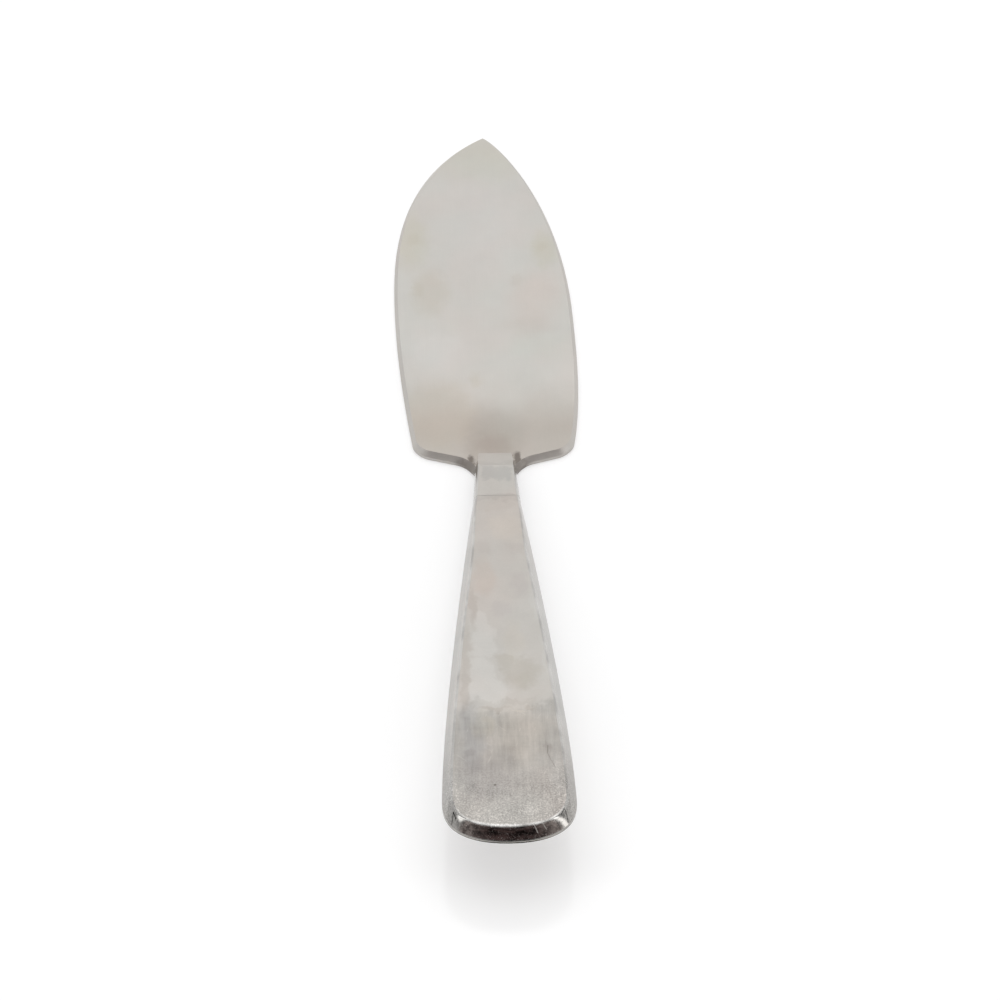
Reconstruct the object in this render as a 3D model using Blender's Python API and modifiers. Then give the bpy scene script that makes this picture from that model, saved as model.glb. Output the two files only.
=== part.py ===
"""Fish serving knife: a flat stamped blade in a hollow, bevelled steel handle.

The knife lies along Y with its tip towards +Y, and its blade rests flat on the plane Z = 0.
The blade's shank is cranked upwards, so that the handle rises clear of the table behind it.
The handle is two pressed halves brazed rim to rim and filled, and a slotted ferrule joins
them to the blade's tang.
"""
import math

import bmesh
import bpy
from mathutils import Matrix, Vector

# Driving dimensions, in metres. Lengths along the knife are taken from the heel line,
# where the blade's heel meets its shank.
REST_AHEAD = 0.060  # from the heel line to the origin, under the middle of the blade

# Leaf of the blade
BLADE_LENGTH = 0.1501  # to the corner that the tip is rounded from
BELLY_HALF = 0.0243  # axis to the bulging, cutting side at its widest
BELLY_AT = 0.0775
BACK_HALF = 0.0211  # axis to the straighter back at its widest
BACK_AT = 0.058
HEEL_HALF_BELLY = 0.0185  # axis to the heel's corner on the belly side
HEEL_HALF_BACK = 0.0180
HEEL_SWEEP = 19.0  # degrees that the heel edges lean forwards
HEEL_CORNER = 0.0036  # reach of the rounding at a heel corner
NECK_FILLET = 0.0044  # reach of the rounding between the heel and the shank
TIP_CORNER = 0.0010
TIP_ANGLE_BELLY = 49.5  # degrees between the axis and the edge at the tip
TIP_ANGLE_BACK = 46.0
BLADE_THICKNESS = 0.0020  # at the heel, the shank and the tang
TIP_THICKNESS = 0.0013
EDGE_EASE = 0.0009  # width of the eased top edge
EDGE_DROP = 0.0013  # height of the eased top edge
EDGE_CROWN = 0.00004  # bulge of the eased top edge over a straight one

# Shank and tang
SHANK_WIDTH = 0.0093
SHANK_LENGTH = 0.0006  # behind the rounding of the heel
CRANK_AT = 0.0010  # start of the crank behind the heel line
CRANK_LENGTH = 0.0065
TANG_WIDTH = 0.0056
TANG_LENGTH = 0.038  # behind the crank
TANG_CORNER = 0.0016

# Handle, in its own tilted frame, whose axis meets the heel line at HANDLE_LIFT
HANDLE_LENGTH = 0.1202
HANDLE_LIFT = 0.0030
HANDLE_TILT = 4.75  # degrees
HANDLE_THICKNESS = 0.0046
SEAM_DROP = 0.00015  # seam of the two halves below the handle's middle
RIM_HEIGHT = 0.0007  # upright wall between the upper and the lower bevel
BEVEL_RUN = 0.0018
NECK_BEVEL = 0.0008  # run of the bevel from the nose to the joint
BEVEL_GROWTH = 0.024  # behind the joint, to where the bevel has its full run
BEVEL_CROWN = 0.00015  # bulge of the upper bevel over a flat one
END_WIDTH = 0.0244  # widest place
END_ROUNDING = 0.0099  # from the widest place to the end
NOSE_WIDTH = 0.0074
NOSE_AHEAD = 0.0024  # overlap of the ferrule's nose on the blade
NECK_WIDTH = 0.0092  # ferrule where the shank enters it
RAMP_AT = 0.0059  # start of the nose's slope on the handle's flat top
RAMP_ANGLE = 16.0  # degrees between that slope and the flat top
JOINT_AT = 0.0177  # joint of ferrule and handle
JOINT_WIDTH = 0.01055
SPIGOT_LENGTH = 0.0060  # ferrule's reach into the handle's mouth
SHEET = 0.0006  # wall of the pressed halves
EDGE_ROUND = 0.0004  # width of the rounding between the flat faces and their bevels

# Joints and clearances
BRAZE = 0.00012  # thickness of a brazed film
BRAZE_GAP = 0.00004  # between a film and the faces it joins
FIT_GAP = 0.0001  # between the tang, the ferrule, the filler and the walls round them

# Numbers of straight steps that curves are drawn with
SIDE_STEPS = 26
CORNER_STEPS = 9
TANG_STEPS = 4
CRANK_STEPS = 10
ROUND_STEPS = 3

# Plain colours of the pieces, and how matt they are
BLADE_STEEL = ((0.60, 0.58, 0.55), 0.32)
HANDLE_STEEL = ((0.58, 0.56, 0.53), 0.30)
BRAZE_METAL = ((0.62, 0.57, 0.48), 0.35)
FILLER = ((0.35, 0.27, 0.20), 0.80)

# Limits of the modelling
SHARP_ANGLE = 35.0  # degrees; steeper edges stay sharp in shading
WELD = 1e-7  # points this close are one
SNAP = 1e-5  # cuts this close to a point go through it

# Shares of a curve's end handles
CIRCLE_SHARE = 0.55  # of the reach, for a corner that is nearly an arc
BELLY_HANDLES = (0.24, 0.38, 0.525, 0.24)  # heel, widest, widest, tip; of the stretch's length
BACK_HANDLES = (0.35, 0.17, 0.59, 0.06)
HANDLE_SIDE_SHARES = (0.417, 0.191)  # joint, widest; of the stretch's length
RIM_END = (0.21, 1.0, 1.0)  # shares along the side and across the end, and pace of the steps
FLAT_END = (0.75, 0.62, 1.7)  # its pace sets its points square across the bevel from the rim's

# Slopes, sideways over lengthways
HEEL_SLOPE_BELLY = 0.135
HEEL_SLOPE_BACK = 0.175
JOINT_SLOPE = 0.101

# Values that follow from the sizes above
TILT = math.radians(HANDLE_TILT)
SWEEP = math.radians(HEEL_SWEEP)
HALF_HEIGHT = HANDLE_THICKNESS / 2
UPPER_RIM = RIM_HEIGHT / 2 - SEAM_DROP
LOWER_RIM = -RIM_HEIGHT / 2 - SEAM_DROP
BEVEL_DROPS = (HALF_HEIGHT - UPPER_RIM, HALF_HEIGHT + LOWER_RIM)
WALL_SHARE = max(math.hypot(BEVEL_RUN, drop) / drop for drop in BEVEL_DROPS)  # level, of a wall's depth
CRANK_START = -CRANK_AT
CRANK_END = CRANK_START - CRANK_LENGTH
SHANK_END = -NECK_FILLET - SHANK_LENGTH
TANG_END = CRANK_END - TANG_LENGTH
SHELL_FRONT = -JOINT_AT - BRAZE / 2 - BRAZE_GAP
SPIGOT_BACK = -JOINT_AT - SPIGOT_LENGTH
RIM_OPENING = BRAZE / 2 + BRAZE_GAP
BEYOND = HANDLE_LENGTH  # cutters reach this far past what they cut


def bezier(start, handle_a, handle_b, end, steps, pace=1.0):
    """Points of a cubic curve, without its last point; a pace over 1 crowds them at the start."""
    points = []
    for i in range(steps):
        t = (i / steps) ** pace
        s = 1 - t
        points.append(s**3 * start + 3 * s * s * t * handle_a + 3 * s * t * t * handle_b + t**3 * end)
    return points


def corner(vertex, before, after, reach, steps=CORNER_STEPS):
    """Points of a rounded corner between the unit directions before and after, last one too."""
    start = vertex + before * reach
    end = vertex + after * reach
    share = CIRCLE_SHARE
    return bezier(start, start.lerp(vertex, share), end.lerp(vertex, share), end, steps) + [end]


def blade_side(side, half, at, heel_half, heel_slope, tip_angle, handles):
    """One side of the blade, from the tip's rounding to the tang's end; side is -1 or +1."""
    tip = Vector((0, BLADE_LENGTH))
    angle = math.radians(tip_angle)
    from_tip = Vector((side * math.sin(angle), -math.cos(angle)))
    along_heel = Vector((side * math.cos(SWEEP), math.sin(SWEEP)))
    along_side = Vector((side * heel_slope, 1)).normalized()
    neck = Vector((side * SHANK_WIDTH / 2, 0))
    heel_vertex = neck + along_heel * ((heel_half - SHANK_WIDTH / 2) / math.cos(SWEEP))
    tip_start = tip + from_tip * TIP_CORNER
    widest = Vector((side * half, at))
    heel_start = heel_vertex + along_side * HEEL_CORNER
    fore = BLADE_LENGTH - at
    aft = at - heel_start.y
    up = Vector((0, 1))
    points = bezier(tip_start, tip_start + from_tip * handles[3] * fore,
                    widest + up * handles[2] * fore, widest, SIDE_STEPS)
    points += bezier(widest, widest - up * handles[1] * aft,
                     heel_start + along_side * handles[0] * aft, heel_start, SIDE_STEPS)
    points += corner(heel_vertex, along_side, -along_heel, HEEL_CORNER)
    points += corner(neck, along_heel, -up, NECK_FILLET)
    points.append(Vector((side * SHANK_WIDTH / 2, SHANK_END)))
    points.append(Vector((side * TANG_WIDTH / 2, SHANK_END)))
    tang_vertex = Vector((side * TANG_WIDTH / 2, TANG_END))
    points += corner(tang_vertex, up, Vector((-side, 0)), TANG_CORNER, TANG_STEPS)
    return points


def blade_outline():
    """Outline of the whole flat blank: down the belly side, round the tang, up the back."""
    belly = blade_side(-1, BELLY_HALF, BELLY_AT, HEEL_HALF_BELLY, HEEL_SLOPE_BELLY,
                       TIP_ANGLE_BELLY, BELLY_HANDLES)
    back = blade_side(1, BACK_HALF, BACK_AT, HEEL_HALF_BACK, HEEL_SLOPE_BACK,
                      TIP_ANGLE_BACK, BACK_HANDLES)
    tip = Vector((0, BLADE_LENGTH))
    rounding = bezier(back[0], back[0].lerp(tip, CIRCLE_SHARE), belly[0].lerp(tip, CIRCLE_SHARE),
                      belly[0], CORNER_STEPS)
    return belly + back[::-1] + rounding[1:]


def bevel_share(y):
    """Share of the full bevel at the length y, which is narrow at the neck and grows behind the joint."""
    grown = min(max((-JOINT_AT - y) / BEVEL_GROWTH, 0), 1)
    smooth = grown * grown * (3 - 2 * grown)
    neck = NECK_BEVEL / BEVEL_RUN
    return neck + (1 - neck) * smooth


def handle_outline(wall, run, rounding):
    """Plan of the handle from the nose to the rounded end, moved in by a wall and a bevel's run."""
    up = Vector((0, 1))
    nose = Vector((NOSE_WIDTH / 2, NOSE_AHEAD))
    neck = Vector((NECK_WIDTH / 2, SHANK_END))
    joint = Vector((JOINT_WIDTH / 2, -JOINT_AT))
    widest = Vector((END_WIDTH / 2, END_ROUNDING - HANDLE_LENGTH))
    length = joint.y - widest.y
    flare = Vector((JOINT_SLOPE, -1)) * HANDLE_SIDE_SHARES[0] * length
    side = [nose, neck]
    side += bezier(joint, joint + flare, widest + up * HANDLE_SIDE_SHARES[1] * length, widest, SIDE_STEPS)
    half = [Vector((p.x - wall - run * bevel_share(p.y), p.y)) for p in side]
    start = widest - Vector((wall + run, 0))
    end = Vector((0, wall + run - HANDLE_LENGTH))
    along, across, pace = rounding
    half += bezier(start, start + up * along * (end.y - start.y),
                   end + Vector((across * start.x, 0)), end, 2 * CORNER_STEPS, pace)
    mirrored = [Vector((-p.x, p.y)) for p in half]
    return half + [end] + mirrored[::-1]


def crank_rise(y):
    """Height that the crank adds to the flat blank at the length y."""
    share = min(max((CRANK_START - y) / CRANK_LENGTH, 0), 1)
    smooth = share * share * (3 - 2 * share)
    return smooth * (HANDLE_LIFT - y * math.tan(TILT) - BLADE_THICKNESS / 2)


def crank_places():
    """Lengths that the crank is drawn at, from its start to its end."""
    return [CRANK_START - CRANK_LENGTH * i / CRANK_STEPS for i in range(CRANK_STEPS + 1)]


def link(name, mesh, collection, parent):
    """An object in its collection, under its parent."""
    obj = bpy.data.objects.new(name, mesh)
    collection.objects.link(obj)
    obj.parent = parent
    return obj


def plate_mesh(name, points, low, high):
    """Closed plate between two heights, from a filled and extruded 2D curve."""
    curve = bpy.data.curves.new(name, "CURVE")
    curve.dimensions = "2D"
    curve.fill_mode = "BOTH"
    curve.extrude = (high - low) / 2
    spline = curve.splines.new("POLY")
    spline.points.add(len(points) - 1)
    for target, point in zip(spline.points, points):
        target.co = (point.x, point.y, 0, 1)
    spline.use_cyclic_u = True
    holder = bpy.data.objects.new(name, curve)
    bpy.context.scene.collection.objects.link(holder)
    depsgraph = bpy.context.evaluated_depsgraph_get()
    mesh = bpy.data.meshes.new_from_object(holder.evaluated_get(depsgraph))
    bpy.data.objects.remove(holder)
    bpy.data.curves.remove(curve)
    bm = bmesh.new()
    bm.from_mesh(mesh)
    bmesh.ops.remove_doubles(bm, verts=bm.verts, dist=WELD)
    bmesh.ops.translate(bm, verts=bm.verts, vec=(0, 0, (low + high) / 2))
    bmesh.ops.recalc_face_normals(bm, faces=bm.faces)
    bm.to_mesh(mesh)
    bm.free()
    return mesh


def raise_top(bm, run, drop, crown):
    """Raise the level top of a plate over an edge that goes in by run, up by drop and bulges by crown."""
    bm.normal_update()
    top = [face for face in bm.faces if face.normal.z > math.cos(math.radians(SHARP_ANGLE))]
    slant = math.hypot(run, drop)
    crest = (run / 2 - crown * drop / slant, drop / 2 + crown * run / slant)
    for inset, height in (crest, (run - crest[0], drop - crest[1])):
        bmesh.ops.inset_region(bm, faces=top, thickness=inset, use_even_offset=True, use_boundary=True)
        for vert in {vert for face in top for vert in face.verts}:
            vert.co.z += height


def handle_loops(depth, crown):
    """Level outlines, from below, of the handle form that lies a depth under the outer faces."""
    wall = depth * WALL_SHARE
    rim = handle_outline(wall, 0, RIM_END)

    def flat(height, edge, outer_height):
        run = BEVEL_RUN * (height - edge) / (outer_height - edge)
        outline = handle_outline(wall, run, FLAT_END)
        return [Vector((*point, height)) for point in outline]

    lower = flat(depth - HALF_HEIGHT, LOWER_RIM, -HALF_HEIGHT)
    upper = flat(HALF_HEIGHT - depth, UPPER_RIM, HALF_HEIGHT)
    low_rim = [Vector((*point, LOWER_RIM)) for point in rim]
    high_rim = [Vector((*point, UPPER_RIM)) for point in rim]
    crest = []
    for foot, head in zip(high_rim, upper):
        slant = head - foot
        level = Vector((slant.x, slant.y, 0))
        bulge = Vector((0, 0, level.length)) - level.normalized() * slant.z
        crest.append(foot.lerp(head, 0.5) + bulge.normalized() * crown)
    return [lower, low_rim, high_rim, crest, upper]


def handle_mesh(name, depth, crown=0.0):
    """Loft through the handle's outlines, with weights on the edges that are rounded later."""
    bm = bmesh.new()
    weight = bm.edges.layers.float.new("bevel_weight_edge")
    rows = [[bm.verts.new(point) for point in loop] for loop in handle_loops(depth, crown)]
    for low, high in zip(rows, rows[1:]):
        for i in range(len(low)):
            bm.faces.new((low[i - 1], low[i], high[i], high[i - 1]))
    for row in (rows[0], rows[-1]):
        for edge in bm.faces.new(row).edges:
            edge[weight] = 1
    bmesh.ops.recalc_face_normals(bm, faces=bm.faces)
    mesh = bpy.data.meshes.new(name)
    bm.to_mesh(mesh)
    bm.free()
    return mesh


def block_mesh(name, low, high):
    """Box between two corners."""
    mesh = bpy.data.meshes.new(name)
    bm = bmesh.new()
    bmesh.ops.create_cube(bm, size=1)
    size = Vector(high) - Vector(low)
    middle = (Vector(high) + Vector(low)) / 2
    placed = Matrix.Translation(middle) @ Matrix.Diagonal(size).to_4x4()
    bmesh.ops.transform(bm, verts=bm.verts, matrix=placed)
    bm.to_mesh(mesh)
    bm.free()
    return mesh


def prism_mesh(name, profile, half_width):
    """Side profile of lengthways and upward places, carried across the knife."""
    mesh = plate_mesh(name, [Vector(point) for point in profile], -half_width, half_width)
    mesh.transform(Matrix(((0, 0, 1, 0), (1, 0, 0, 0), (0, 1, 0, 0), (0, 0, 0, 1))))
    return mesh


def boolean(obj, operation, cutter):
    """Boolean with another object."""
    modifier = obj.modifiers.new(cutter.name, "BOOLEAN")
    modifier.operation = operation
    modifier.solver = "EXACT"
    modifier.object = cutter


def round_edges(obj):
    """Small rounding of the edges between the flat faces and their bevels."""
    modifier = obj.modifiers.new("edge_round", "BEVEL")
    modifier.width = EDGE_ROUND
    modifier.segments = ROUND_STEPS
    modifier.limit_method = "WEIGHT"


def paint(obj, finish, metallic=1.0):
    """Principled material of its own for one sub-part."""
    colour, roughness = finish
    material = bpy.data.materials.new(obj.name)
    material.use_nodes = True
    shader = material.node_tree.nodes["Principled BSDF"]
    shader.inputs["Base Color"].default_value = (*colour, 1)
    shader.inputs["Roughness"].default_value = roughness
    shader.inputs["Metallic"].default_value = metallic
    obj.data.materials.clear()
    obj.data.materials.append(material)


def make_blade(parts, datum):
    """Flat blank with eased upper edges, then tapered to the tip and bent at the crank."""
    mesh = plate_mesh("blade", blade_outline(), 0, BLADE_THICKNESS - EDGE_DROP)
    bm = bmesh.new()
    bm.from_mesh(mesh)
    raise_top(bm, EDGE_EASE, EDGE_DROP, EDGE_CROWN)
    for y in crank_places():
        geometry = bm.verts[:] + bm.edges[:] + bm.faces[:]
        bmesh.ops.bisect_plane(bm, geom=geometry, plane_co=(0, y, 0), plane_no=(0, 1, 0), dist=SNAP)
    for vert in bm.verts:
        share = max(vert.co.y - CRANK_START, 0) / (BLADE_LENGTH - CRANK_START)
        vert.co.z *= 1 - share * (1 - TIP_THICKNESS / BLADE_THICKNESS)
        vert.co.z += crank_rise(vert.co.y)
    bm.to_mesh(mesh)
    bm.free()
    blade = link("blade", mesh, parts, datum)
    paint(blade, BLADE_STEEL)


def make_handle(parts, cutters, datum, axis):
    """Ferrule, the two halves, the brazed films and the filler, all cut from one handle form."""
    wide = END_WIDTH
    outer = handle_mesh("handle_form", 0, BEVEL_CROWN)
    hollow = link("hollow", handle_mesh("hollow", SHEET), cutters, axis)

    def region(name, back, front, low, high):
        return link(name, block_mesh(name, (-wide, back, low), (wide, front, high)), cutters, axis)

    def handle_piece(name, area):
        piece = link(name, outer.copy(), parts, axis)
        round_edges(piece)
        boolean(piece, "INTERSECT", area)
        return piece

    shell_area = (-BEYOND - HANDLE_LENGTH, SHELL_FRONT)
    over_seam = RIM_OPENING - SEAM_DROP
    under_seam = -RIM_OPENING - SEAM_DROP
    upper = handle_piece("upper_shell", region("upper_area", *shell_area, over_seam, wide))
    lower = handle_piece("lower_shell", region("lower_area", *shell_area, -wide, under_seam))
    film = (-BRAZE / 2 - SEAM_DROP, BRAZE / 2 - SEAM_DROP)
    seam = handle_piece("seam_braze", region("seam_area", *shell_area, *film))
    ring_area = region("ring_area", -JOINT_AT - BRAZE / 2, -JOINT_AT + BRAZE / 2, -wide, wide)
    ring = handle_piece("neck_braze", ring_area)
    for piece in (upper, lower, seam, ring):
        boolean(piece, "DIFFERENCE", hollow)

    # The tang's room follows the crank from the end of the shank to the end of the tang.
    bent = crank_places()
    places = [SHANK_END] + [y for y in bent if y < SHANK_END - SNAP] + [TANG_END - 2 * FIT_GAP]
    over = [(y, crank_rise(y) + BLADE_THICKNESS + FIT_GAP) for y in places]
    under = [(y, crank_rise(y) - FIT_GAP) for y in places]
    tang_mesh = prism_mesh("tang_room", over + under[::-1], TANG_WIDTH / 2 + FIT_GAP)
    tang_room = link("tang_room", tang_mesh, cutters, datum)

    core = link("handle_core", handle_mesh("handle_core", SHEET + FIT_GAP), parts, axis)
    core_front = SPIGOT_BACK - FIT_GAP
    boolean(core, "INTERSECT", region("core_area", -BEYOND - HANDLE_LENGTH, core_front, -wide, wide))
    boolean(core, "DIFFERENCE", tang_room)

    ferrule_back = -JOINT_AT + BRAZE / 2 + BRAZE_GAP
    ferrule = handle_piece("ferrule", region("ferrule_area", ferrule_back, BEYOND, -wide, wide))
    spigot = link("spigot", handle_mesh("spigot", SHEET + FIT_GAP), cutters, axis)
    boolean(spigot, "INTERSECT", region("spigot_area", SPIGOT_BACK, -JOINT_AT / 2, -wide, wide))
    boolean(ferrule, "UNION", spigot)

    slope = math.tan(math.radians(RAMP_ANGLE))
    fall = BEYOND * slope
    ramp = [(-RAMP_AT - BEYOND, HALF_HEIGHT + fall), (BEYOND - RAMP_AT, HALF_HEIGHT - fall),
            (BEYOND - RAMP_AT, HALF_HEIGHT + fall)]
    boolean(ferrule, "DIFFERENCE", link("nose_ramp", prism_mesh("nose_ramp", ramp, wide), cutters, axis))

    # In front of the tang the ferrule lies only over the shank and the blade, so what is below goes.
    shoulder = SHANK_END - FIT_GAP
    places = [shoulder] + [y for y in bent[::-1] if y > shoulder + SNAP] + [BEYOND]
    over = [(y, crank_rise(y) + BLADE_THICKNESS + FIT_GAP) for y in places]
    under = [(BEYOND, -BEYOND), (shoulder, -BEYOND)]
    shank_room = link("shank_room", prism_mesh("shank_room", over + under, wide), cutters, datum)
    boolean(ferrule, "DIFFERENCE", shank_room)
    boolean(ferrule, "DIFFERENCE", tang_room)

    for piece in (upper, lower, ferrule):
        paint(piece, HANDLE_STEEL)
    for piece in (seam, ring):
        paint(piece, BRAZE_METAL)
    paint(core, FILLER, metallic=0.0)


def main():
    for obj in list(bpy.data.objects):
        bpy.data.objects.remove(obj)
    parts = bpy.data.collections.new("fish_serving_knife")
    cutters = bpy.data.collections.new("cutters")
    for collection in (parts, cutters):
        bpy.context.scene.collection.children.link(collection)
    datum = link("knife_datum", None, parts, None)
    datum.location.y = -REST_AHEAD
    axis = link("handle_axis", None, parts, datum)
    axis.location.z = HANDLE_LIFT
    axis.rotation_euler.x = -TILT
    make_blade(parts, datum)
    make_handle(parts, cutters, datum, axis)
    for cutter in cutters.objects:
        cutter.hide_render = True
        cutter.display_type = "WIRE"
    for obj in parts.objects:
        if obj.type == "MESH":
            obj.data.shade_smooth()
            obj.data.set_sharp_from_angle(angle=math.radians(SHARP_ANGLE))


main()
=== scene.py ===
"""Fish serving knife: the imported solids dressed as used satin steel, on a pale studio floor."""
import math

import bmesh
import bpy
from mathutils import Euler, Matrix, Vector


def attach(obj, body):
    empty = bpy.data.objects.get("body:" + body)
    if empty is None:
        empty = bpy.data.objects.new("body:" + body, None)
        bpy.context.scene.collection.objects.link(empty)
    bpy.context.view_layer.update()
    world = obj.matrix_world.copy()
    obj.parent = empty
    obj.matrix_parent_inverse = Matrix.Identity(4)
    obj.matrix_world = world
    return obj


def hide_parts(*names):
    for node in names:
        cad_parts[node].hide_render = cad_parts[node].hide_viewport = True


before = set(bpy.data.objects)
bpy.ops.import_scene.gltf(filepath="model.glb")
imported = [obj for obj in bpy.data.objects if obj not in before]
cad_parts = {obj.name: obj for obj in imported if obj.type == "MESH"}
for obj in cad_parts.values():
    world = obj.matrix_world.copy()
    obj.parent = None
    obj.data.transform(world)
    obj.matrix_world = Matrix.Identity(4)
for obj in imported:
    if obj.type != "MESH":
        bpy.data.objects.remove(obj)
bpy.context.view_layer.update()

MM = 0.001

# Camera, fitted to the photographed perspective
CAMERA_PLACE = Vector((-7.59, -396.85, 276.04)) * MM
CAMERA_YAW = 0.0259  # radians to the right
CAMERA_PITCH = 0.7028  # radians downwards
SENSOR = 36.0  # millimetres
LENS = 68.4  # millimetres
CLIP_START = 0.01
CLIP_END = 20

# Soft box overhead, pointed at the handle's end, in metres and watts
LAMP_PLACE = Vector((0, 0.10, 0.95))
LAMP_TARGET = Vector((0, -0.18, 0.01))
LAMP_SIZE = (1.30, 0.95)
LAMP_POWER = 3.1

# Table top, in metres
FLOOR_HALF = 20.0
FLOOR_LEVEL = -0.05 * MM  # just clear of the blade's underside
FLOOR_COLOUR = (0.66, 0.662, 0.665, 1)
FLOOR_ROUGHNESS = 0.15
FLOOR_GLOW = 0.40  # for the camera and reflections only: it makes the table white

# Surroundings that the steel mirrors. Bearings are from +Y and heights from level, in degrees,
# each from where a field starts to where it is full.
WALL_BEARING = (84, 68)
WALL_HEIGHT = (74, 60)
LOW_HEIGHT = (20, 12)
ROOM_BEARING = (102, 116)
ROOM_SIDES = (168, 120)
WINDOW_BACK = (83, 88)
WINDOW_FRONT = (107, 100)
WINDOW_SILL = (20, 30)
WINDOW_HEAD = (58, 46)

# The dark room lies between two planes that rise towards the camera
ROOM_SLOPE = 0.45
ROOM_FOOT = (-0.06, 0.02)
ROOM_HEAD = (0.64, 0.56)

# The right window has a lower sill than the left one and starts further forward
RIGHT_SIDE = (-0.1, 0.1)
RIGHT_SILL_DROP = math.sin(math.radians(20))
RIGHT_JAMB_SHIFT = 0.13

WALL_COLOUR = (0.96, 0.96, 0.96)
SIDE_COLOUR = (0.50, 0.50, 0.50)
LOW_COLOUR = (0.92, 0.92, 0.92)
WINDOW_COLOUR = (2.8, 2.8, 2.8)
ROOM_MIDDLE_COLOURS = ((0.003, 0.0015, 0.0015), (0.150, 0.098, 0.094))
ROOM_SIDE_COLOURS = ((0.20, 0.17, 0.165), (0.62, 0.55, 0.53))
GUARD = 1e-4  # keeps a division clear of zero straight up

# Handle's own upward direction: it rises backwards from the blade
HANDLE_TILT = math.radians(4.75)
HANDLE_UP = Vector((0, math.sin(HANDLE_TILT), math.cos(HANDLE_TILT)))

# Finish of the meshes
WELD = 1e-6
FLAT_ANGLE = math.radians(0.05)
SHARP_ANGLE = math.radians(30)
SOFT_EDGE = 0.05 * MM
SOFT_SEGMENTS = 2
FLAT_COSINE = 0.95  # faces nearer to level than this are flats, the rest bevels and edges

# Height of the fine relief in each surface
SATIN_RELIEF = 0.004 * MM
EDGE_RELIEF = 0.003 * MM
BRAZE_RELIEF = 0.01 * MM
FILLER_RELIEF = 0.05 * MM

# Base colours: pairs that noise mixes, then single ones
HANDLE_FLATS = ((0.530, 0.511, 0.480), (0.540, 0.501, 0.466))
# The handle's bevels are the same steel as its flats; their darker base colours are painted shade
HANDLE_BEVELS_SHADED = ((0.450, 0.442, 0.425), (0.452, 0.434, 0.412))
BLADE_FLATS = ((0.588, 0.578, 0.545), (0.600, 0.569, 0.535))
BLADE_EDGES = ((0.520, 0.502, 0.474), (0.524, 0.498, 0.468))
BRAZE = ((0.58, 0.56, 0.52), (0.52, 0.50, 0.46))
FILLING = ((0.38, 0.30, 0.22), (0.30, 0.23, 0.17))
# lighter steel along the handle's top edge: partly wear, partly a painted sheen
RUBBED_STEEL_AND_SHEEN = (0.56, 0.55, 0.53)
# painted highlight along the handle's end edge
END_EDGE_HIGHLIGHT = (0.80, 0.79, 0.77)
# painted shade towards the blade's heel
HEEL_PAINTED_SHADE = (0.83, 0.80, 0.775)
DIRT = (0.10, 0.085, 0.07)

# Zones of wear along the knife, and the zone of painted shade towards the blade's heel, in millimetres:
# where each starts, where it is full, and how far noise moves its border
REAR_ZONE = (-145.6, -148.6, 14.0)
DEEP_ZONE = (-142.0, -156.0, 14.0)
END_ZONE = (-160.0, -176.0, 20.0)
BEVEL_END_ZONE = (-150.0, -172.0, 6.0)
HEEL_SHADE_ZONE = (-22.0, -50.0, 16.0)

# Zones with even borders: along the handle, across it, and down from its flat top
WORN_SIDE_LENGTH = (-156.0, -168.0)
WORN_END_LENGTH = (-170.5, -176.0)
# where the painted highlight along the end edge starts and where it is full
END_HIGHLIGHT_LENGTH = (-172.5, -176.0)
DULL_EDGE_LENGTH = (-170.0, -164.0)
WORN_SIDE_WIDTH = (6.0, 10.0)
DARK_LEFT_WIDTH = (-4.0, -9.0)
# painted shade in the middle of the rim at the handle's end
RIM_SHADE_WIDTH = (8.5, 2.0)
EDGE_DEPTH = (0.42, 0.22)
RIM_DEPTH = (2.0, 2.2)

# A pit, and fine lines with start, end, bow, width and strength, in millimetres
PIT_PLACE = (-2.56, -167.7)
PIT_RADIUS = 0.28
HAIR_LINES = (
    ((7.5, -157.4), (7.33, -159.8), 0.0, 0.15, 1.0),
    ((7.33, -159.5), (8.7, -163.6), -0.08, 0.13, 0.7),
)
END_CUTS = (
    ((3.8, -177.1), (4.8, -178.75), 0.0, 0.17, 1.0),
    ((5.4, -177.0), (6.4, -178.1), 0.0, 0.16, 1.0),
)
# dark lines painted as shade where the side and end bevels meet at the corners
CORNER_CREASE_SHADE = (
    ((-10.17, -173.8), (-10.5, -175.8), 0.05, 0.13, 1.0),
    ((-10.17, -173.8), (-9.7, -175.4), 0.0, 0.13, 1.0),
    ((9.71, -173.8), (10.28, -175.9), 0.1, 0.13, 1.0),
    ((9.71, -173.8), (9.0, -175.3), 0.0, 0.13, 1.0),
)

# Sets of fine scratches: angle to the knife in radians, shift of the noise and its level where they start
HANDLE_SCRATCHES = ((0.35, (3, 8, 0), 0.21), (-0.8, (19, 2, 0), 0.22))
BEVEL_SCRATCHES = ((0.5, (5, 1, 0), 0.20), (-0.6, (11, 7, 0), 0.22))
SCRATCH_SOFTNESS = 0.05
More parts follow.
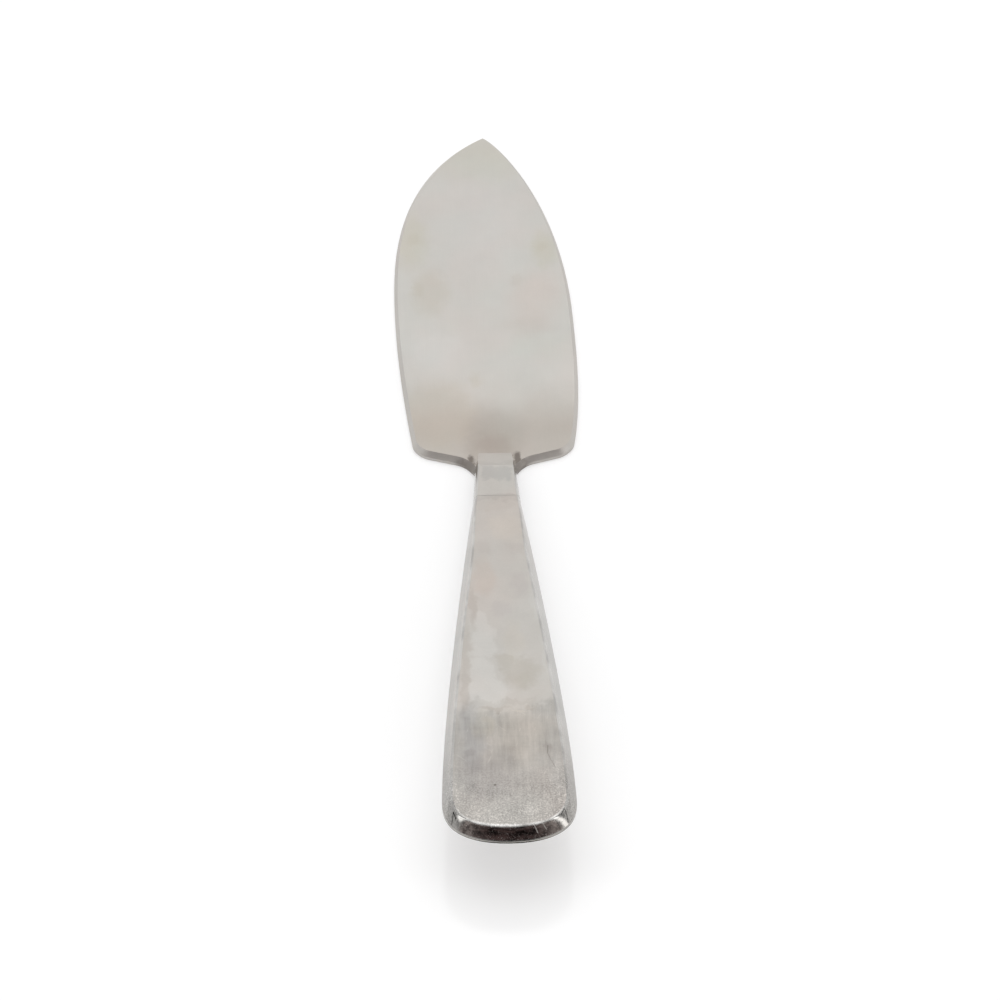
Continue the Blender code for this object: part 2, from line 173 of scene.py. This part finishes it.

# Soft paler and darker patches on the flat faces, and painted shade beside the neck at the blade's heel:
# tint, softness, then the ovals that make the mark up, each with its place and half sizes in millimetres
HANDLE_MARKS = (
    ((1.07, 1.08, 1.09), 0.2, (-4.4, -121.8, 1.7, 3.2), (-3.8, -127.8, 2.5, 5.9),
     (-4.7, -136.5, 2.7, 3.3), (-3.3, -142.1, 4.0, 4.0)),
    ((0.99, 0.985, 0.98), 0.25, (4.2, -143.2, 2.4, 2.6)),
    ((0.92, 0.905, 0.88), 0.3, (0.4, -133.4, 1.8, 2.4), (3.6, -137.0, 3.4, 4.3)),
    ((0.97, 0.97, 0.96), 0.3, (3.8, -138.5, 1.5, 1.8)),
    ((1.02, 1.01, 0.99), 0.5, (2.0, -127.0, 1.8, 6.2)),
    ((0.97, 0.96, 0.97), 0.4, (-0.3, -116.8, 1.8, 2.3)),
    ((0.95, 0.94, 0.95), 0.4, (4.0, -109.4, 1.6, 4.0)),
    ((1.00, 0.96, 0.94), 0.4, (-3.4, -106.5, 2.3, 5.7)),
    ((1.03, 1.02, 1.00), 0.4, (1.9, -89.2, 3.7, 5.1)),
    ((0.96, 0.95, 0.95), 0.5, (-3.4, -96.2, 1.7, 2.6), (4.2, -96.4, 2.2, 1.8)),
    ((0.92, 0.91, 0.91), 0.5, (0.0, -78.1, 6.5, 1.2)),
    ((0.97, 0.96, 0.95), 0.5, (0.0, -80.6, 4.4, 2.4)),
    ((0.92, 0.905, 0.895), 0.4, (-5.9, -116.0, 0.8, 6.5), (-7.5, -136.0, 0.9, 14.0)),
    ((1.03, 1.04, 1.05), 0.4, (6.9, -114.5, 0.8, 6.5), (7.9, -131.8, 0.6, 6.1)),
    ((1.10, 1.10, 1.10), 0.4, (0.0, -60.2, 4.4, 4.0)),
    ((0.88, 0.89, 0.90), 0.25, (-1.5, -68.8, 2.2, 2.7), (1.5, -68.8, 2.2, 2.7)),
    ((0.90, 0.92, 0.95), 0.5, (-6.4, -154.4, 2.4, 9.0)),
    ((1.03, 1.00, 0.97), 0.6, (2.4, -154.6, 5.2, 7.1)),
    ((0.90, 0.90, 0.91), 0.7, (-3.4, -166.4, 4.6, 5.0)),
    ((1.03, 1.03, 1.03), 0.7, (5.5, -161.4, 2.6, 7.9)),
    ((0.90, 0.88, 0.86), 0.5, (-2.3, -146.9, 2.7, 0.6), (4.6, -146.6, 1.2, 0.5)),
    ((1.09, 1.08, 1.06), 0.5, (2.7, -148.1, 2.2, 0.45)),
    ((0.89, 0.88, 0.88), 0.7, (-6.8, -159.0, 0.8, 1.1), (7.5, -158.3, 0.5, 0.9)),
    ((1.05, 1.03, 0.985), 0.5, (-4.6, -151.6, 2.0, 3.8)),
    ((0.92, 0.925, 0.93), 0.6, (-7.8, -164.5, 2.2, 4.5)),
    ((1.06, 1.08, 1.09), 0.6, (9.4, -165.8, 2.0, 4.6)),
    ((0.93, 0.925, 0.915), 0.5, (-2.0, -145.4, 7.0, 0.8)),
)
BLADE_PATCHES_AND_SHADE = (
    ((1.02, 1.02, 1.03), 0.6, (-1.0, 46.0, 11.0, 26.0)),
    ((0.96, 0.96, 0.91), 0.5, (-20.2, 34.0, 4.2, 12.0), (15.4, 29.5, 3.6, 8.0)),
    ((0.97, 0.96, 0.94), 0.8, (-19.7, 35.0, 1.3, 2.4), (14.1, 31.1, 1.5, 2.2), (-18.2, 11.0, 1.5, 3.6)),
    ((0.97, 0.97, 0.93), 0.7, (-0.5, 78.0, 12.0, 12.0)),
    ((0.99, 0.96, 0.95), 0.6, (11.9, 7.0, 6.0, 11.0)),
    ((0.97, 0.96, 0.95), 0.7, (7.5, 14.7, 1.4, 2.6), (9.6, -6.0, 5.5, 4.0)),
    ((0.96, 0.94, 0.91), 0.5, (-15.0, 9.7, 4.6, 10.0)),
    ((1.03, 1.03, 1.04), 0.5, (-13.0, -15.7, 8.0, 7.5)),
    ((0.99, 1.01, 1.00), 0.6, (12.2, -14.3, 7.4, 5.1)),
    ((0.97, 0.96, 0.93), 0.8, (-3.8, -28.3, 1.3, 2.8)),
    ((1.00, 0.975, 0.945), 0.3, (-12.5, -42.0, 8.5, 13.0)),
    ((0.96, 0.965, 0.96), 0.5, (12.8, -44.5, 7.0, 10.0)),
    ((0.89, 0.875, 0.865), 0.7, (-0.2, -50.0, 6.0, 8.5)),
    ((0.91, 0.89, 0.88), 0.6, (-0.5, -54.5, 4.8, 5.0)),
    # painted shade in the corners beside the shank, where the heel meets the neck
    ((0.42, 0.40, 0.39), 0.5, (-5.2, -58.9, 0.9, 2.4), (4.9, -59.1, 0.9, 2.4)),
)
# painted shade on the heel's edges where they meet the neck
HEEL_EDGE_SHADE = (
    ((0.50, 0.48, 0.47), 0.6, (-6.2, -61.2, 2.6, 3.2), (6.0, -61.2, 2.6, 3.2)),
)
MARK_NOISE = (0.30, 0.24, 0.30)  # features per millimetre in the outlines of the marks
MARK_REACH = (4.0, 7.0)  # how far that noise moves an outline across and along the knife


class Nodes:
    """Short calls that build one node tree."""

    def __init__(self, tree):
        self.tree = tree
        tree.nodes.clear()

    def add(self, kind, inputs=None, **settings):
        node = self.tree.nodes.new("ShaderNode" + kind)
        for key, value in settings.items():
            setattr(node, key, value)
        for key, value in (inputs or {}).items():
            if isinstance(value, bpy.types.NodeSocket):
                self.tree.links.new(value, node.inputs[key])
            else:
                node.inputs[key].default_value = value
        return node

    def math(self, operation, a, b=0.0):
        return self.add("Math", {0: a, 1: b}, operation=operation).outputs[0]

    def total(self, *parts):
        result = parts[0]
        for part in parts[1:]:
            result = self.math("ADD", result, part)
        return result

    def product(self, *parts):
        result = parts[0]
        for part in parts[1:]:
            result = self.math("MULTIPLY", result, part)
        return result

    def length(self, a, b):
        return self.math("SQRT", self.total(self.product(a, a), self.product(b, b)))

    def ramp(self, value, start, end, kind="SMOOTHSTEP"):
        """Step from 0 at start to 1 at end, smooth unless another kind is asked for."""
        inputs = {0: value, 1: start, 2: end, 3: 0.0, 4: 1.0}
        return self.add("MapRange", inputs, interpolation_type=kind).outputs[0]

    def mix(self, factor, a, b, blend="MIX"):
        node = self.add("Mix", {0: factor}, data_type="RGBA", blend_type=blend)
        for index, value in ((6, a), (7, b)):
            if isinstance(value, bpy.types.NodeSocket):
                self.tree.links.new(value, node.inputs[index])
            else:
                node.inputs[index].default_value = (*value, 1)
        return node.outputs[2]

    def stretch(self, vector, factors, shift=(0, 0, 0)):
        inputs = {0: vector, 1: factors, 2: shift}
        return self.add("VectorMath", inputs, operation="MULTIPLY_ADD").outputs[0]

    def noise(self, vector, factors, detail=2.0, roughness=0.5, shift=(0, 0, 0)):
        """Noise about zero, with its own number of features per unit along each axis."""
        place = self.stretch(vector, factors, shift)
        inputs = {"Vector": place, "Scale": 1.0, "Detail": detail, "Roughness": roughness}
        return self.math("SUBTRACT", self.add("TexNoise", inputs).outputs[0], 0.5)

    def place(self):
        """Place on the knife in millimetres, then its X and Y."""
        coordinates = self.add("TexCoord").outputs["Object"]
        whole = self.stretch(coordinates, (1 / MM,) * 3)
        split = self.add("SeparateXYZ", {0: whole}).outputs
        return whole, split[0], split[1]

    def spot(self, x, y, at, radius):
        """1 inside a round soft spot in plan, 0 outside."""
        distance = self.length(self.math("SUBTRACT", x, at[0]), self.math("SUBTRACT", y, at[1]))
        return self.ramp(distance, radius, radius / 2)

    def line(self, x, y, start, end, bow, width):
        """1 on a thin bowed line in plan that runs mostly along Y, 0 off it."""
        along = self.ramp(y, start[1], end[1], "LINEAR")
        bulge = self.product(along, self.math("SUBTRACT", 1.0, along), 4 * bow)
        centre = self.total(self.product(along, end[0] - start[0]), bulge, start[0])
        across = self.math("ABSOLUTE", self.math("SUBTRACT", x, centre))
        ends = self.product(self.ramp(along, 0.0, 0.08), self.ramp(along, 1.0, 0.92))
        return self.product(self.ramp(across, width, width / 4), ends)

    def surface(self, colour, roughness, height, depth, metallic=1.0):
        """Principled surface with a fine relief."""
        bump = self.add("Bump", {"Height": height, "Distance": depth, "Strength": 1.0})
        inputs = {"Base Color": colour, "Roughness": roughness, "Metallic": metallic,
                  "Normal": bump.outputs[0]}
        shader = self.add("BsdfPrincipled", inputs)
        self.add("OutputMaterial", {"Surface": shader.outputs[0]})


def new_material(name):
    material = bpy.data.materials.new(name)
    material.use_nodes = True
    return material, Nodes(material.node_tree)


def satin_marks(n, place):
    """Brushing along and across the knife, grain, blotches and slow changes of hue, each about zero."""
    return {
        "streak": n.noise(place, (1.3, 0.06, 1.3), 2.0, 0.6, (4, 14, 3)),
        "weft": n.noise(place, (0.08, 1.5, 1.5), 2.0, 0.6, (23, 6, 9)),
        "along": n.noise(place, (6.0, 0.09, 6.0), 3.0, 0.6),
        "across": n.noise(place, (0.14, 6.0, 6.0), 3.0, 0.6, (31, 17, 5)),
        "grain": n.noise(place, (3.4, 3.4, 3.4), 2.0, 0.6),
        "mottle": n.noise(place, (0.21, 0.17, 0.2), 3.0, 0.55, (7, 3, 1)),
        "blotch": n.noise(place, (0.06, 0.045, 0.05), 3.0, 0.5, (2, 9, 4)),
        "hue": n.noise(place, (0.075, 0.05, 0.06), 2.0, 0.5, (13, 1, 8)),
    }


def weighted(n, marks, weights):
    return n.total(*[n.product(marks[key], weight) for key, weight in weights.items()])


def mixed(n, mark, spread, colours):
    """Pair of colours mixed by a noise that counts up to a spread on both sides of zero."""
    return n.mix(n.ramp(mark, -spread, spread), *colours)


def zone(n, y, mark, limits):
    """0 ahead of a zone of wear, 1 inside it, with a border made uneven by a noise."""
    start, full, reach = limits
    return n.ramp(n.total(y, n.product(mark, reach)), start, full)


def soft_marks(n, place, x, y, groups, colour):
    """Colour tinted by soft marks with uneven outlines."""
    reach_x, reach_y = MARK_REACH
    x = n.total(x, n.product(n.noise(place, MARK_NOISE, 3.0, 0.6, (5, 11, 2)), reach_x))
    y = n.total(y, n.product(n.noise(place, MARK_NOISE, 3.0, 0.6, (17, 3, 6)), reach_y))
    for tint, soft, *ovals in groups:
        inside = None
        for at_x, at_y, half_x, half_y in ovals:
            dx = n.math("DIVIDE", n.math("SUBTRACT", x, at_x), half_x)
            dy = n.math("DIVIDE", n.math("SUBTRACT", y, at_y), half_y)
            oval = n.ramp(n.length(dx, dy), 1 + soft, 1 - soft)
            inside = oval if inside is None else n.math("MAXIMUM", inside, oval)
        colour = n.mix(inside, colour, tint, "MULTIPLY")
    return colour


def shade(n, colour, factor):
    """Colour times a factor that is the same for red, green and blue."""
    grey = n.add("CombineColor", {0: factor, 1: factor, 2: factor}).outputs[0]
    return n.mix(1.0, colour, grey, "MULTIPLY")


def scratches(n, place, sets):
    """1 on sparse fine scratches that run at an angle to the knife, 0 off them."""
    layers = []
    for turn, shift, least in sets:
        turned = n.add("Mapping", {"Vector": place, "Rotation": (0.0, 0.0, turn)}).outputs[0]
        streak = n.noise(turned, (3.2, 0.20, 3.2), 1.0, 0.4, shift)
        layers.append(n.ramp(streak, least, least + SCRATCH_SOFTNESS))
    return n.total(*layers)


def fine_lines(n, x, y, rows):
    """Sum of thin lines, each times its strength."""
    return n.total(*[n.product(n.line(x, y, *shape), strength) for *shape, strength in rows])


def handle_satin():
    """Flat faces of the handle: satin steel with wear from the hand."""
    material, n = new_material("handle_satin_steel")
    place, x, y = n.place()
    marks = satin_marks(n, place)
    rear = zone(n, y, marks["mottle"], REAR_ZONE)
    deep = zone(n, y, marks["blotch"], DEEP_ZONE)
    end = zone(n, y, marks["blotch"], END_ZONE)
    sides = n.product(n.ramp(n.math("ABSOLUTE", x), *WORN_SIDE_WIDTH), n.ramp(y, *WORN_SIDE_LENGTH))
    worn = n.math("MAXIMUM", sides, n.ramp(y, *WORN_END_LENGTH))
    speckle = n.product(worn, n.ramp(marks["grain"], 0.02, 0.16))
    cuts = scratches(n, place, HANDLE_SCRATCHES)

    tint = mixed(n, marks["hue"], 0.2, HANDLE_FLATS)
    tint = soft_marks(n, place, x, y, HANDLE_MARKS, tint)
    wear = weighted(n, marks, {"streak": 0.28, "weft": 0.06, "along": 0.10, "mottle": 0.34})
    all_over = weighted(n, marks, {"along": 0.05, "across": 0.03, "grain": 0.10, "mottle": 0.14,
                                   "blotch": 0.12})
    tone = n.total(1.0, all_over, n.product(rear, -0.12), n.product(deep, -0.10), n.product(rear, wear),
                   n.product(end, 0.02), n.product(cuts, rear, 0.12), n.product(end, marks["grain"], 0.90),
                   n.product(speckle, 0.16))
    pit = n.spot(x, y, PIT_PLACE, PIT_RADIUS)
    dirt = n.total(n.product(pit, 0.75), n.product(fine_lines(n, x, y, HAIR_LINES), 0.38))
    colour = n.mix(dirt, shade(n, tint, tone), DIRT)

    roughness = n.total(0.37, n.product(marks["along"], 0.12), n.product(marks["blotch"], 0.12),
                        n.product(rear, 0.03))
    height = n.total(weighted(n, marks, {"along": 0.8, "across": 0.3, "grain": 0.8}), n.product(cuts, -0.5))
    n.surface(colour, roughness, height, SATIN_RELIEF)
    return material


def handle_polish(top):
    """Bevels and edges of the handle: polished and scratched, with base colours painted darker than the
    flats as shade, lighter along the flat top from wear and a painted sheen, a painted highlight along the
    end edge, and painted shade where the side and end bevels meet and in the middle of the rim.
    """
    material, n = new_material("handle_polished_steel")
    place, x, y = n.place()
    marks = satin_marks(n, place)
    up = n.add("VectorMath", {0: place, 1: HANDLE_UP}, operation="DOT_PRODUCT").outputs["Value"]
    edge = n.ramp(up, *[top - depth for depth in EDGE_DEPTH])
    # lighter along the top edge: partly wear, partly a painted sheen
    rubbed_sheen = n.product(edge, n.ramp(marks["mottle"], -0.16, 0.12))
    dull_edge = n.product(edge, n.ramp(y, *DULL_EDGE_LENGTH))
    rim = n.ramp(up, *[top - depth for depth in RIM_DEPTH])
    # painted shade in the middle of the rim
    rim_shade = n.product(rim, n.ramp(n.math("ABSOLUTE", x), *RIM_SHADE_WIDTH))
    end = zone(n, y, marks["mottle"], BEVEL_END_ZONE)
    dark_left = n.product(end, n.ramp(x, *DARK_LEFT_WIDTH))
    specks = n.product(end, n.ramp(marks["grain"], 0.02, 0.18))
    # painted shade where the side and end bevels meet
    crease_shade = fine_lines(n, x, y, CORNER_CREASE_SHADE)
    fine = n.product(scratches(n, place, BEVEL_SCRATCHES), 0.35)
    cuts = n.math("MINIMUM", n.total(fine, fine_lines(n, x, y, END_CUTS)), 1.0)

    # base colours painted darker than the flats, as shade
    tint = mixed(n, marks["hue"], 0.2, HANDLE_BEVELS_SHADED)
    tint = n.mix(rubbed_sheen, tint, RUBBED_STEEL_AND_SHEEN)
    # painted highlight along the end edge
    tint = n.mix(n.product(rubbed_sheen, n.ramp(y, *END_HIGHLIGHT_LENGTH)), tint, END_EDGE_HIGHLIGHT)
    uneven = weighted(n, marks, {"streak": 0.10, "along": 0.08, "grain": 0.12, "mottle": 0.24,
                                 "blotch": 0.16})
    tone = n.total(1.0, uneven, n.product(end, -0.17), n.product(dark_left, -0.08),
                   n.product(end, marks["grain"], 0.8), n.product(cuts, 0.10), n.product(crease_shade, -0.6),
                   n.product(rim_shade, -0.70))

    roughness = n.total(0.11, n.product(marks["mottle"], 0.10), n.product(cuts, 0.45),
                        n.product(specks, 0.15), n.product(dull_edge, 0.25))
    height = n.total(weighted(n, marks, {"mottle": 6.0, "along": 0.4, "grain": 0.6}), n.product(cuts, -1.0))
    n.surface(shade(n, tint, tone), roughness, height, SATIN_RELIEF)
    return material


def blade_satin():
    """Flat faces of the blade: fine satin, with painted shade that deepens towards the heel."""
    material, n = new_material("blade_satin_steel")
    place, x, y = n.place()
    marks = satin_marks(n, place)
    heel = zone(n, y, marks["blotch"], HEEL_SHADE_ZONE)
    tint = mixed(n, marks["hue"], 0.25, BLADE_FLATS)
    # painted shade that deepens towards the heel
    tint = n.mix(heel, tint, HEEL_PAINTED_SHADE, "MULTIPLY")
    # paler and darker patches, and painted shade beside the neck
    tint = soft_marks(n, place, x, y, BLADE_PATCHES_AND_SHADE, tint)
    tone = n.total(1.0, weighted(n, marks, {"along": 0.07, "grain": 0.06, "mottle": 0.06, "blotch": 0.08}))
    roughness = n.total(0.38, n.product(marks["along"], 0.12), n.product(marks["blotch"], 0.12))
    height = weighted(n, marks, {"along": 1.0, "grain": 0.6})
    n.surface(shade(n, tint, tone), roughness, height, SATIN_RELIEF)
    return material


def blade_edge():
    """Eased edges of the blade: darker and duller than its flats."""
    material, n = new_material("blade_edge_steel")
    place, x, y = n.place()
    marks = satin_marks(n, place)
    tint = mixed(n, marks["hue"], 0.2, BLADE_EDGES)
    # painted shade where the heel's edges meet the neck
    tint = soft_marks(n, place, x, y, HEEL_EDGE_SHADE, tint)
    tone = n.total(1.0, weighted(n, marks, {"grain": 0.10, "mottle": 0.16, "blotch": 0.14}))
    roughness = n.total(0.48, n.product(marks["mottle"], 0.16))
    height = weighted(n, marks, {"grain": 0.8, "mottle": 0.5})
    n.surface(shade(n, tint, tone), roughness, height, EDGE_RELIEF)
    return material


def braze():
    """Dressed braze in the seams."""
    material, n = new_material("dressed_braze")
    marks = satin_marks(n, n.place()[0])
    colour = mixed(n, marks["mottle"], 0.15, BRAZE)
    roughness = n.total(0.38, n.product(marks["grain"], 0.3))
    n.surface(colour, roughness, marks["grain"], BRAZE_RELIEF)
    return material


def filler():
    """Filling compound inside the handle."""
    material, n = new_material("filling_compound")
    marks = satin_marks(n, n.place()[0])
    colour = mixed(n, marks["mottle"], 0.2, FILLING)
    roughness = n.total(0.8, n.product(marks["grain"], 0.3))
    n.surface(colour, roughness, marks["grain"], FILLER_RELIEF, metallic=0.0)
    return material


def dress(node, name, flat_up, flats, edges):
    """Clean, soft-edged copy of a CAD node that stands for it, with flats and edges finished apart."""
    bm = bmesh.new()
    bm.from_mesh(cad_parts[node].data)
    bmesh.ops.remove_doubles(bm, verts=bm.verts, dist=WELD)
    bmesh.ops.dissolve_limit(bm, angle_limit=FLAT_ANGLE, verts=bm.verts, edges=bm.edges)
    for face in bm.faces:
        face.smooth = True
        face.material_index = int(abs(face.normal.dot(flat_up)) < FLAT_COSINE)
    mesh = bpy.data.meshes.new(name)
    bm.to_mesh(mesh)
    bm.free()
    mesh.materials.append(flats)
    mesh.materials.append(edges)
    mesh.set_sharp_from_angle(angle=SHARP_ANGLE)
    piece = bpy.data.objects.new(name, mesh)
    bpy.context.scene.collection.objects.link(piece)
    soft = piece.modifiers.new("soft_edges", "BEVEL")
    soft.width = SOFT_EDGE
    soft.segments = SOFT_SEGMENTS
    soft.limit_method = "ANGLE"
    soft.angle_limit = SHARP_ANGLE
    soft.material = 1
    even = piece.modifiers.new("even_normals", "WEIGHTED_NORMAL")
    even.keep_sharp = True
    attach(piece, "root")
    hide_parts(node)


def repaint(node, material):
    """New material for a CAD node that stays as it is."""
    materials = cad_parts[node].data.materials
    materials.clear()
    materials.append(material)


def make_knife():
    """Every piece of the knife, dressed or repainted."""
    satin = handle_satin()
    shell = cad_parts["upper_shell"].data
    polish = handle_polish(max(vert.co.dot(HANDLE_UP) for vert in shell.vertices) / MM)
    dress("blade", "blade_dressed", Vector((0, 0, 1)), blade_satin(), blade_edge())
    for node in ("ferrule", "upper_shell", "lower_shell"):
        dress(node, node + "_dressed", HANDLE_UP, satin, polish)
    seams = braze()
    repaint("seam_braze", seams)
    repaint("neck_braze", seams)
    repaint("handle_core", filler())


def make_floor():
    """White, slightly glossy table top."""
    mesh = bpy.data.meshes.new("floor")
    corners = [(-1, -1), (1, -1), (1, 1), (-1, 1)]
    places = [(x * FLOOR_HALF, y * FLOOR_HALF, FLOOR_LEVEL) for x, y in corners]
    mesh.from_pydata(places, [], [(0, 1, 2, 3)])
    floor = bpy.data.objects.new("floor", mesh)
    bpy.context.scene.collection.objects.link(floor)
    material, n = new_material("white_table")
    path = n.add("LightPath").outputs
    seen = n.total(path["Is Camera Ray"], path["Is Glossy Ray"], path["Is Transmission Ray"])
    shader = n.add("BsdfPrincipled", {
        "Base Color": FLOOR_COLOUR, "Roughness": FLOOR_ROUGHNESS, "Emission Color": (1, 1, 1, 1),
        "Emission Strength": n.product(n.math("MINIMUM", seen, 1.0), FLOOR_GLOW)})
    n.add("OutputMaterial", {"Surface": shader.outputs[0]})
    mesh.materials.append(material)


def cosines(angles):
    return [math.cos(math.radians(angle)) for angle in angles]


def sines(angles):
    return [math.sin(math.radians(angle)) for angle in angles]


def make_world():
    """White wall at the back, grey sides with a window each, pale below, a dark room behind the camera."""
    world = bpy.data.worlds.new("studio")
    world.use_nodes = True
    bpy.context.scene.world = world
    n = Nodes(world.node_tree)
    place = n.add("TexCoord").outputs["Generated"]
    direction = n.add("VectorMath", {0: place}, operation="NORMALIZE").outputs[0]
    x, y, z = n.add("SeparateXYZ", {0: direction}).outputs
    level = n.math("SQRT", n.math("SUBTRACT", 1 + GUARD, n.product(z, z)))
    north = n.math("DIVIDE", y, level)
    sloped = n.total(z, n.product(y, ROOM_SLOPE))

    low = n.math("MAXIMUM", n.ramp(z, *sines(LOW_HEIGHT)), n.ramp(sloped, *reversed(ROOM_FOOT)))
    wall = n.product(n.ramp(north, *cosines(WALL_BEARING)), n.ramp(z, *sines(WALL_HEIGHT)))
    room = n.product(n.ramp(north, *cosines(ROOM_BEARING)), n.ramp(sloped, *ROOM_FOOT),
                     n.ramp(sloped, *ROOM_HEAD))
    room_sides = n.ramp(north, *cosines(ROOM_SIDES))
    right = n.ramp(x, *RIGHT_SIDE)
    sill = n.total(z, n.product(right, RIGHT_SILL_DROP))
    jamb = n.total(north, n.product(right, RIGHT_JAMB_SHIFT))
    windows = n.product(n.ramp(jamb, *cosines(WINDOW_BACK)), n.ramp(north, *cosines(WINDOW_FRONT)),
                        n.ramp(sill, *sines(WINDOW_SILL)), n.ramp(z, *sines(WINDOW_HEAD)))

    clutter = n.noise(direction, (7.0, 7.0, 7.0), 3.0, 0.6)
    middle = mixed(n, clutter, 0.10, ROOM_MIDDLE_COLOURS)
    outer = mixed(n, clutter, 0.10, ROOM_SIDE_COLOURS)
    sky = n.mix(low, SIDE_COLOUR, LOW_COLOUR)
    sky = n.mix(wall, sky, WALL_COLOUR)
    sky = n.mix(room, sky, n.mix(room_sides, middle, outer))
    sky = n.mix(windows, sky, WINDOW_COLOUR)
    background = n.add("Background", {"Color": sky, "Strength": 1.0})
    n.add("OutputWorld", {"Surface": background.outputs[0]})


def make_lamp():
    """Soft box overhead."""
    lamp = bpy.data.lights.new("overhead_box", "AREA")
    lamp.shape = "RECTANGLE"
    lamp.size, lamp.size_y = LAMP_SIZE
    lamp.energy = LAMP_POWER
    holder = bpy.data.objects.new("overhead_box", lamp)
    holder.location = LAMP_PLACE
    holder.rotation_euler = (LAMP_TARGET - LAMP_PLACE).to_track_quat("-Z", "Y").to_euler()
    bpy.context.scene.collection.objects.link(holder)


def make_camera():
    """Camera at the photographed angle."""
    data = bpy.data.cameras.new("camera")
    data.sensor_width = SENSOR
    data.lens = LENS
    data.clip_start = CLIP_START
    data.clip_end = CLIP_END
    camera = bpy.data.objects.new("camera", data)
    camera.location = CAMERA_PLACE
    camera.rotation_euler = Euler((math.pi / 2 - CAMERA_PITCH, 0, -CAMERA_YAW))
    bpy.context.scene.collection.objects.link(camera)
    bpy.context.scene.camera = camera


make_camera()
make_knife()
make_floor()
make_world()
make_lamp()
bpy.context.scene.view_settings.view_transform = "Standard"
